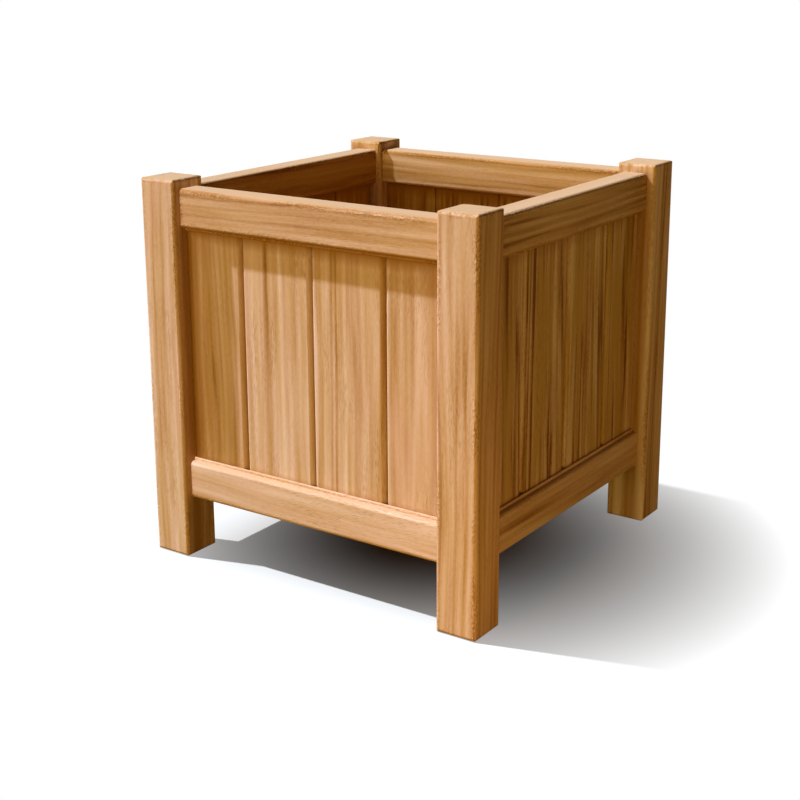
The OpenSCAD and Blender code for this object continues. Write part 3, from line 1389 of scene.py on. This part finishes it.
@dataclass(frozen=True)
class Setting:
    """White floor and backdrop, which are stage and not part of the planter.

    The floor takes the planter's shadow. Away from the middle of the planter the shadow
    runs out into white, as it does in the photograph. The camera sees the floor as
    white paint, while the planter gets back only as much light from it as from a dark
    studio cloth, so that its shaded sides stay as deep as they are in the photograph.
    From below, the camera sees through the floor.

    Attributes:
        floor_m: Side of the floor.
        seen_paint: How much of its light the floor sends to the camera.
        under_paint: The same under the planter, darker, which is painted shade, as the planter
            hides part of the studio from it.
        under_m: Distances from the middle between which one becomes the other.
        thrown_back: Share of its light that the floor sends to the planter.
        ambient: Light that comes from all round.
        mirrored: How bright the backdrop is in what the planter mirrors.
        fade_m: Distances between which the shadow fades out, as painted light whitens the floor,
            from fade_from.
        fade_from: The point that the fade is measured from.
    """

    floor_m: float = 16.0
    seen_paint: Triple = (0.70, 0.61, 0.50)
    under_paint: Triple = (0.44, 0.36, 0.28)
    under_m: Pair = (0.27, 0.18)
    thrown_back: Triple = (0.08, 0.05, 0.008)
    ambient: Triple = (0.016, 0.013, 0.006)
    mirrored: float = 0.3
    fade_m: Pair = (0.066, 0.473)
    fade_from: Triple = (0.03, 0.0, 0.0)

    def build(self) -> bpy.types.Object:
        """Lays the floor and sets the world's light.

        Returns:
            The floor.
        """
        half = self.floor_m / 2
        mesh = bpy.data.meshes.new("studio_floor")
        corners = [(-half, -half, 0), (half, -half, 0), (half, half, 0), (-half, half, 0)]
        mesh.from_pydata(corners, [], [(0, 1, 2, 3)])
        floor = bpy.data.objects.new("studio_floor", mesh)
        bpy.context.scene.collection.objects.link(floor)
        mesh.materials.append(self._floor_material())
        self._world()
        LOG.info("studio floor laid, %.1f m across", self.floor_m)
        return floor

    def _floor_material(self) -> bpy.types.Material:
        """Makes matt white paint that keeps a shadow near the planter, with painted light that
        fades it further out.

        Returns:
            The material.
        """
        material = new_material("matt_white_floor_paint")
        tree = material.node_tree
        geometry = add_node(tree, "NewGeometry").outputs
        place = geometry["Position"]
        # Painted light: with distance from fade_from the floor glows more and more white for the
        # camera, which fades the shadow out
        from_there = {0: place, 1: self.fade_from}
        away = add_node(tree, "VectorMath", from_there, operation="DISTANCE").outputs["Value"]
        begins, ends = self.fade_m
        run = add_node(tree, "MapRange", {"Value": away, 1: begins, 2: ends}).outputs[0]
        seen = add_node(tree, "LightPath").outputs["Is Camera Ray"]
        faded = overlap(tree, overlap(tree, run, run), seen)
        # Painted shade: under the planter the floor is painted darker
        parts = distances(tree, place)
        out = greatest(tree, parts["X"], parts["Y"])
        begins, full = self.under_m
        under = add_node(tree, "MapRange", {"Value": out, 1: begins, 2: full}).outputs[0]
        # Sockets 6 and 7 of a mix are its two colours, and output 2 is theirs
        colours = {0: under, 6: (*self.seen_paint, 1.0), 7: (*self.under_paint, 1.0)}
        colour = add_node(tree, "Mix", colours, data_type="RGBA").outputs[2]
        colours = {0: seen, 6: (*self.thrown_back, 1.0), 7: colour}
        colour = add_node(tree, "Mix", colours, data_type="RGBA").outputs[2]
        shader = add_node(tree, "BsdfDiffuse", {"Color": colour}).outputs[0]
        white = add_node(tree, "Emission", {"Strength": 1.0}).outputs[0]
        clear = add_node(tree, "BsdfTransparent").outputs[0]
        below = overlap(tree, geometry["Backfacing"], seen)
        for share, other in ((faded, white), (below, clear)):
            shader = add_node(tree, "MixShader", {0: share, 1: shader, 2: other}).outputs[0]
        add_node(tree, "OutputMaterial", {"Surface": shader})
        return material

    def _world(self) -> None:
        """Sets a dim light from all round, behind a backdrop that is seen as white."""
        world = bpy.data.worlds.new("studio_backdrop")
        bpy.context.scene.world = world
        world.use_nodes = True
        tree = world.node_tree
        tree.nodes.clear()
        path = add_node(tree, "LightPath").outputs
        rays = {0: path["Is Glossy Ray"], 1: self.mirrored, 2: path["Is Camera Ray"]}
        seen = add_node(tree, "Math", rays, operation="MULTIPLY_ADD").outputs[0]
        dim, white = (
            add_node(tree, "Background", {"Color": (*colour, 1.0)}).outputs[0]
            for colour in (self.ambient, (1.0, 1.0, 1.0))
        )
        mixed = add_node(tree, "MixShader", {0: seen, 1: dim, 2: white}).outputs[0]
        add_node(tree, "OutputWorld", {"Surface": mixed})


@dataclass(frozen=True)
class SoftBox:
    """A broad soft lamp that faces the planter.

    Attributes:
        name: Name of the lamp.
        place: Where it stands, in metres.
        size: Its width and height, in metres.
        power: Its power, in watts.
        colour: Its colour, as linear red, green and blue.
    """

    name: str
    place: Triple
    size: Pair
    power: float
    colour: Triple


@dataclass(frozen=True)
class Studio:
    """The lamps: a low sun from the left, and soft boxes that fill its shadows.

    The soft boxes light the planter and not the floor, which keeps its shadow dark. The
    front rails have a sun of their own, for which the near left post casts no shadow,
    because the photograph shows none of it on them.

    Attributes:
        sun_place: Where the sun hangs, which changes nothing that it lights.
        sun_towards: Direction in which its light travels.
        sun_strength: Its power on a square metre that faces it.
        sun_colour: Its colour, as linear red, green and blue.
        sun_angle: Width of its disc, in degrees.
        aim: The point of the planter that the soft boxes face.
        fills: The soft boxes.
        rim: One more, which reaches over the front rail and lights only the back rail
            and the two posts beside it.
    """

    sun_place: Triple = (-2.0, -0.6, 2.4)
    sun_towards: Triple = (3.2, 0.95, -4.2)
    sun_strength: float = 9.5
    sun_colour: Triple = (0.63, 0.77, 1.0)
    sun_angle: float = 1.5
    aim: Triple = (0.0, 0.0, 0.25)
    fills: tuple[SoftBox, ...] = (
        SoftBox("fill_front", (-0.4, -3.3, 1.1), (2.6, 2.0), 45.0, (1.0, 0.75, 0.47)),
        SoftBox("fill_low", (0.6, -2.6, 0.12), (2.4, 0.3), 16.0, (1.0, 0.86, 0.14)),
        SoftBox("fill_right", (3.2, 0.4, 0.6), (2.4, 1.2), 6.3, (1.0, 0.49, 0.05)),
        SoftBox("fill_sill", (0.9, 0.0, 0.02), (1.0, 0.06), 0.4, (1.0, 0.57, 0.12)),
        SoftBox("fill_foot", (0.50, -0.48, 0.03), (0.2, 0.05), 0.36, (1.0, 0.60, 0.22)),
        SoftBox("fill_back", (0.3, 3.3, 0.7), (2.6, 1.6), 24.0, (1.0, 0.72, 0.40)),
    )
    rim: SoftBox = SoftBox("fill_rim", (-0.2, -3.0, 0.8), (1.6, 0.3), 25.0, (1.0, 0.9, 0.22))

    def build(self, floor: bpy.types.Object) -> None:
        """Hangs the lamps.

        Args:
            floor: The floor, which the soft boxes leave out.
        """
        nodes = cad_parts
        rails = [nodes["top_rail_front"], nodes["bottom_rail_front"]]
        suns = {
            "sun": (self._chosen("all_but_front_rails", rails, "EXCLUDE"), None),
            "sun_on_front_rails": (
                self._chosen("front_rails", rails, "INCLUDE"),
                self._chosen("no_shadow", [nodes["post_front_left"]], "EXCLUDE"),
            ),
        }
        for name, (lit, blockers) in suns.items():
            sun = bpy.data.lights.new(name, "SUN")
            sun.energy = self.sun_strength
            sun.color = self.sun_colour
            sun.angle = math.radians(self.sun_angle)
            holder = self._hang(sun, Vector(self.sun_place), Vector(self.sun_towards))
            holder.light_linking.receiver_collection = lit
            holder.light_linking.blocker_collection = blockers
        left_out = self._chosen("left_out_by_soft_boxes", [floor], "EXCLUDE")
        far_side = [nodes[n] for n in ("top_rail_back", "post_back_left", "post_back_right")]
        far_rim = self._chosen("far_rim", far_side, "INCLUDE")
        for box in (*self.fills, self.rim):
            lamp = bpy.data.lights.new(box.name, "AREA")
            lamp.shape = "RECTANGLE"
            lamp.size, lamp.size_y = box.size
            lamp.energy = box.power
            lamp.color = box.colour
            place = Vector(box.place)
            holder = self._hang(lamp, place, Vector(self.aim) - place)
            holder.light_linking.receiver_collection = far_rim if box is self.rim else left_out
            holder.visible_camera = False

    @staticmethod
    def _chosen(
        name: str, pieces: list[bpy.types.Object], state: str
    ) -> bpy.types.Collection:
        """Names the pieces that a lamp lights or leaves out.

        Args:
            name: Name of the collection.
            pieces: The pieces.
            state: INCLUDE or EXCLUDE.

        Returns:
            The collection, for the lamp's light linking.
        """
        chosen = bpy.data.collections.new(name)
        for piece in pieces:
            chosen.objects.link(piece)
        for entry in chosen.collection_objects:
            entry.light_linking.link_state = state
        return chosen

    @staticmethod
    def _hang(lamp: bpy.types.Light, place: Vector, towards: Vector) -> bpy.types.Object:
        """Puts a lamp in place, shining in a direction.

        Args:
            lamp: The lamp.
            place: Where it goes, in metres.
            towards: The direction.

        Returns:
            The object that holds the lamp.
        """
        holder = bpy.data.objects.new(lamp.name, lamp)
        holder.location = place
        holder.rotation_euler = towards.to_track_quat("-Z", "Y").to_euler()
        bpy.context.scene.collection.objects.link(holder)
        LOG.info("lamp %s hung", lamp.name)
        return holder


@dataclass(frozen=True)
class Viewpoint:
    """The camera, as fitted to the corners of the posts in the photograph.

    Attributes:
        place: Where it stands, in metres.
        azimuth: Angle round the planter from its front, in degrees.
        elevation: Angle above the horizon, in degrees.
        roll: Turn about its own line of sight, in degrees.
        focal_pixels: Focal length in pixels of the 800 pixel frame.
        shift_pixels: How far the frame is shifted down on the sensor.
    """

    place: Triple = (1.0483, -1.5596, 0.7747)
    azimuth: float = 34.55
    elevation: float = 14.542
    roll: float = -0.266
    focal_pixels: float = 1449.2
    shift_pixels: float = -72.0

    def build(self) -> None:
        """Sets the camera up and makes it the scene's."""
        lens = bpy.data.cameras.new("viewpoint")
        lens.sensor_width = SENSOR_MM
        lens.lens = self.focal_pixels / FRAME_PIXELS * SENSOR_MM
        lens.shift_y = self.shift_pixels / FRAME_PIXELS
        az, el, roll = (math.radians(a) for a in (self.azimuth, self.elevation, self.roll))
        back = Vector((math.sin(az) * math.cos(el), -math.cos(az) * math.cos(el), math.sin(el)))
        right = Vector((0, 0, 1)).cross(back).normalized()
        up = back.cross(right)
        rolled = right * math.cos(roll) + up * math.sin(roll)
        up = up * math.cos(roll) - right * math.sin(roll)
        turn = Matrix((rolled, up, back)).transposed().to_4x4()
        camera = bpy.data.objects.new("viewpoint", lens)
        camera.matrix_world = Matrix.Translation(self.place) @ turn
        bpy.context.scene.collection.objects.link(camera)
        bpy.context.scene.camera = camera


def main() -> None:
    """Builds the camera, the studio and the planter's finishes in order."""
    logging.basicConfig(level=logging.INFO, format="%(name)s: %(message)s")
    bpy.context.scene.view_settings.view_transform = "Standard"
    Viewpoint().build()
    Studio().build(Setting().build())
    figure = HardwoodFigure()
    top_shades_and_stains = {
        "front": RailShadeAndStain(),
        "right": RailShadeAndStain(most=0.2, stain_share=0.6),
        "back": RailShadeAndStain(),
        "left": RailShadeAndStain(stain_share=0.9),
    }
    for sticks in (
        Posts(),
        Rails(
            "top",
            tones=(Tone.AMBER, Tone.GOLD, Tone.GOLD, Tone.AMBER),
            arris_strength=(1.0, 0.35, 0.8, 0.35),
            shades_and_stains=top_shades_and_stains,
        ),
        # The bottom rails have little of the arris tint
        Rails(
            "bottom",
            # Painted light: the right bottom rail stands in shade, and its pale tone lightens it
            tones=(Tone.PALE, Tone.PALE, Tone.GOLD, Tone.AMBER),
            arris_strength=(0.25, 0.0875, 0.2, 0.0875),
            torn=0.4,
        ),
        Panels(),
    ):
        sticks.dress(OILED_HARDWOOD, figure)
    floor = SlattedFloor()
    floor.dress(SAWN_HARDWOOD, figure)
    floor.soften()
    Screws().dress(TurnedStainless())


if __name__ == "__main__":
    main()
